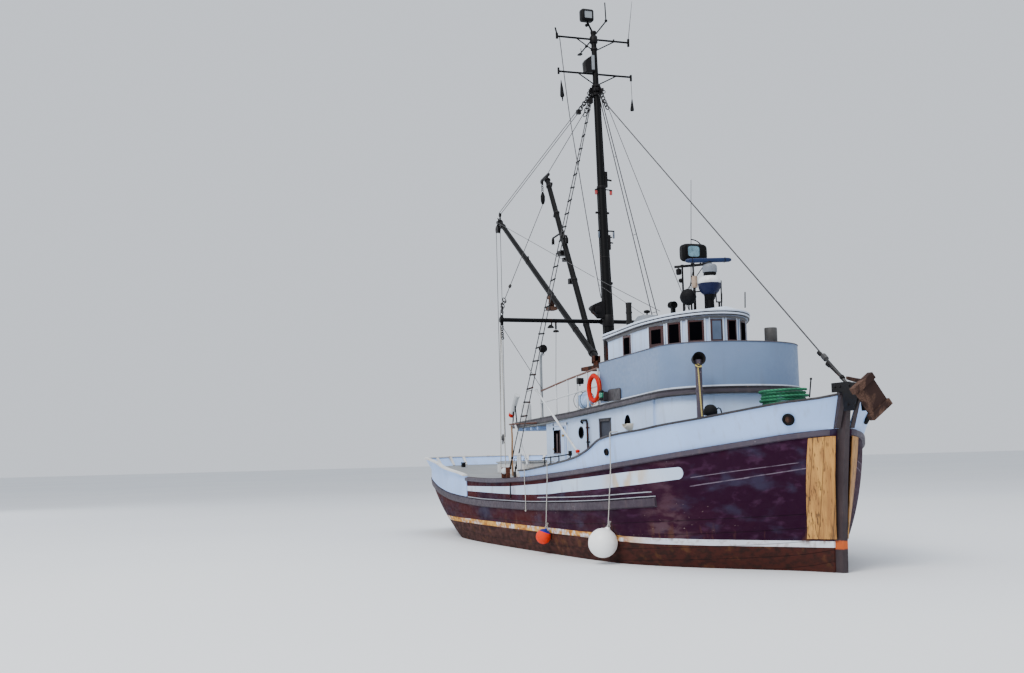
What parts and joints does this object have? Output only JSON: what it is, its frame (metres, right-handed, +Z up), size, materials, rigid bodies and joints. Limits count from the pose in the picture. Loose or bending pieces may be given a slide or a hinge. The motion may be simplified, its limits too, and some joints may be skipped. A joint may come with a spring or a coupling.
{
  "type": "purse seiner",
  "caption": "Wooden fishing boat afloat: pilothouse forward, mast with two booms, open working deck aft, round stern",
  "frame": {"origin": "amidships on the centreline, at the waterline", "axes": "+X towards the bow, +Y to port, +Z up"},
  "size_m": [18.5285, 5.426, 14.73],
  "materials": {
    "hull": "painted planking, weathered",
    "keel": "antifouling paint",
    "stem": "painted, worn",
    "bulwark_starboard": "painted",
    "bulwark_port": "painted",
    "bulwark_stern": "painted",
    "guard_starboard": "painted, worn",
    "guard_port": "painted, worn",
    "rub_strake": "painted, worn",
    "deckhouse_side_starboard": "painted",
    "deckhouse_side_port": "painted",
    "deckhouse_front": "painted",
    "deckhouse_aft": "painted",
    "deckhouse_door": "varnished",
    "boat_deck": "painted",
    "dodger": "painted",
    "railing_starboard": "painted pipe",
    "railing_port": "painted pipe",
    "pilothouse_wall": "painted",
    "pilothouse_aft": "painted",
    "pilothouse_door": "varnished",
    "pilothouse_roof": "painted",
    "radar_pedestal": "painted",
    "radar_scanner": "gloss",
    "light_mast": "painted",
    "roof_ball": "matte",
    "roof_hump": "painted",
    "stack_pipe": "sooty",
    "vent_pipe": "painted",
    "cowl_vent": "painted",
    "life_ring": "faded",
    "sidelight_starboard": "painted",
    "sidelight_port": "painted",
    "gas_bottle": "painted, rusty",
    "mast": "painted, rusty",
    "spreader_bar": "painted",
    "boom_bracket": "painted",
    "main_boom_swivel": "painted",
    "main_boom": "painted",
    "second_boom_swivel": "painted",
    "second_boom": "painted",
    "hatch_coaming": "painted",
    "hatch_lid": "painted",
    "deck_winch_frame": "rusty",
    "deck_winch_drum": "rusty",
    "anchor_winch_base": "rusty",
    "anchor_winch_drum": "rusty",
    "bow_roller": "rusty",
    "davit": "painted",
    "propeller": "cast",
    "rudder": "antifouling paint",
    "forestay": "wire, weathered",
    "shrouds_starboard": "wire, weathered",
    "shrouds_port": "wire, weathered",
    "anchor": "rusty",
    "fender_white": "matte",
    "fender_orange": "matte"
  },
  "bodies": {
    "vessel": {"hull": "hull", "keel": "keel", "stem": "stem", "bulwark_starboard": "bulwark_starboard", "bulwark_port": "bulwark_port", "bulwark_stern": "bulwark_stern", "guard_starboard": "guard_starboard", "guard_port": "guard_port", "rub_strake": "rub_strake", "deckhouse_side_starboard": "deckhouse_side_starboard", "deckhouse_side_port": "deckhouse_side_port", "deckhouse_front": "deckhouse_front", "deckhouse_aft": "deckhouse_aft", "boat_deck": "boat_deck", "dodger": "dodger", "railing_starboard": "railing_starboard", "railing_port": "railing_port", "pilothouse_wall": "pilothouse_wall", "pilothouse_aft": "pilothouse_aft", "pilothouse_roof": "pilothouse_roof", "radar_pedestal": "radar_pedestal", "light_mast": "light_mast", "roof_ball": "roof_ball", "roof_hump": "roof_hump", "stack_pipe": "stack_pipe", "vent_pipe": "vent_pipe", "cowl_vent": "cowl_vent", "life_ring": "life_ring", "sidelight_starboard": "sidelight_starboard", "sidelight_port": "sidelight_port", "gas_bottle": "gas_bottle", "mast": "mast", "spreader_bar": "spreader_bar", "boom_bracket": "boom_bracket", "hatch_coaming": "hatch_coaming", "deck_winch_frame": "deck_winch_frame", "anchor_winch_base": "anchor_winch_base", "bow_roller": "bow_roller", "forestay": "forestay", "shrouds_starboard": "shrouds_starboard", "shrouds_port": "shrouds_port", "anchor": "anchor", "fender_white": "fender_white", "fender_orange": "fender_orange"},
    "propeller": {"propeller": "propeller"},
    "rudder": {"rudder": "rudder"},
    "radar_scanner": {"radar_scanner": "radar_scanner"},
    "deckhouse_door": {"deckhouse_door": "deckhouse_door"},
    "pilothouse_door": {"pilothouse_door": "pilothouse_door"},
    "hatch_lid": {"hatch_lid": "hatch_lid"},
    "main_swivel": {"main_boom_swivel": "main_boom_swivel"},
    "main_boom": {"main_boom": "main_boom"},
    "second_swivel": {"second_boom_swivel": "second_boom_swivel"},
    "second_boom": {"second_boom": "second_boom"},
    "deck_winch_drum": {"deck_winch_drum": "deck_winch_drum"},
    "anchor_winch_drum": {"anchor_winch_drum": "anchor_winch_drum"},
    "davit": {"davit": "davit"}
  },
  "joints": [
    {"name": "propeller_spin", "type": "hinge", "parent": "vessel", "child": "propeller", "pos_m": [-6.11, 0, -1.3], "axis": [1, 0, 0], "continuous": true},
    {"name": "rudder_turn", "type": "hinge", "parent": "vessel", "child": "rudder", "pos_m": [-6.95, 0, -1], "axis": [0, 0, 1], "range_deg": [-35, 35]},
    {"name": "radar_spin", "type": "hinge", "parent": "vessel", "child": "radar_scanner", "pos_m": [4.45, 0, 5.79], "axis": [0, 0, 1], "continuous": true},
    {"name": "deckhouse_door_swing", "type": "hinge", "parent": "vessel", "child": "deckhouse_door", "pos_m": [0.498, -1.4735, 2.15], "axis": [0, 0, 1], "range_deg": [0, 100]},
    {"name": "pilothouse_door_swing", "type": "hinge", "parent": "vessel", "child": "pilothouse_door", "pos_m": [1.9665, 0.318, 3.7], "axis": [0, 0, 1], "range_deg": [-100, 0]},
    {"name": "hatch_lift", "type": "hinge", "parent": "vessel", "child": "hatch_lid", "pos_m": [-5.63, 0, 1.9305], "axis": [0, 1, 0], "range_deg": [-80, 0]},
    {"name": "main_boom_slew", "type": "hinge", "parent": "vessel", "child": "main_swivel", "pos_m": [-0.64, -0.15, 4.2], "axis": [0, 0, 1], "range_deg": [0, 40]},
    {"name": "main_boom_top", "type": "hinge", "parent": "main_swivel", "child": "main_boom", "pos_m": [-0.64, -0.15, 4.28], "axis": [0, 1, 0], "range_deg": [-30, 20]},
    {"name": "second_boom_slew", "type": "hinge", "parent": "vessel", "child": "second_swivel", "pos_m": [-1.15, 0.08, 4.2], "axis": [0, 0, 1], "range_deg": [-40, 0]},
    {"name": "second_boom_top", "type": "hinge", "parent": "second_swivel", "child": "second_boom", "pos_m": [-1.15, 0.08, 4.28], "axis": [0, 1, 0], "range_deg": [-50, 5]},
    {"name": "deck_winch_spin", "type": "hinge", "parent": "vessel", "child": "deck_winch_drum", "pos_m": [-1.5, 0, 2], "axis": [0, 1, 0], "continuous": true},
    {"name": "anchor_winch_spin", "type": "hinge", "parent": "vessel", "child": "anchor_winch_drum", "pos_m": [6.92, 0, 2.52], "axis": [0, 1, 0], "continuous": true},
    {"name": "davit_slew", "type": "hinge", "parent": "vessel", "child": "davit", "pos_m": [-0.89, -1.45, 3.5], "axis": [0, 0, 1], "range_deg": [-60, 60]}
  ]
}
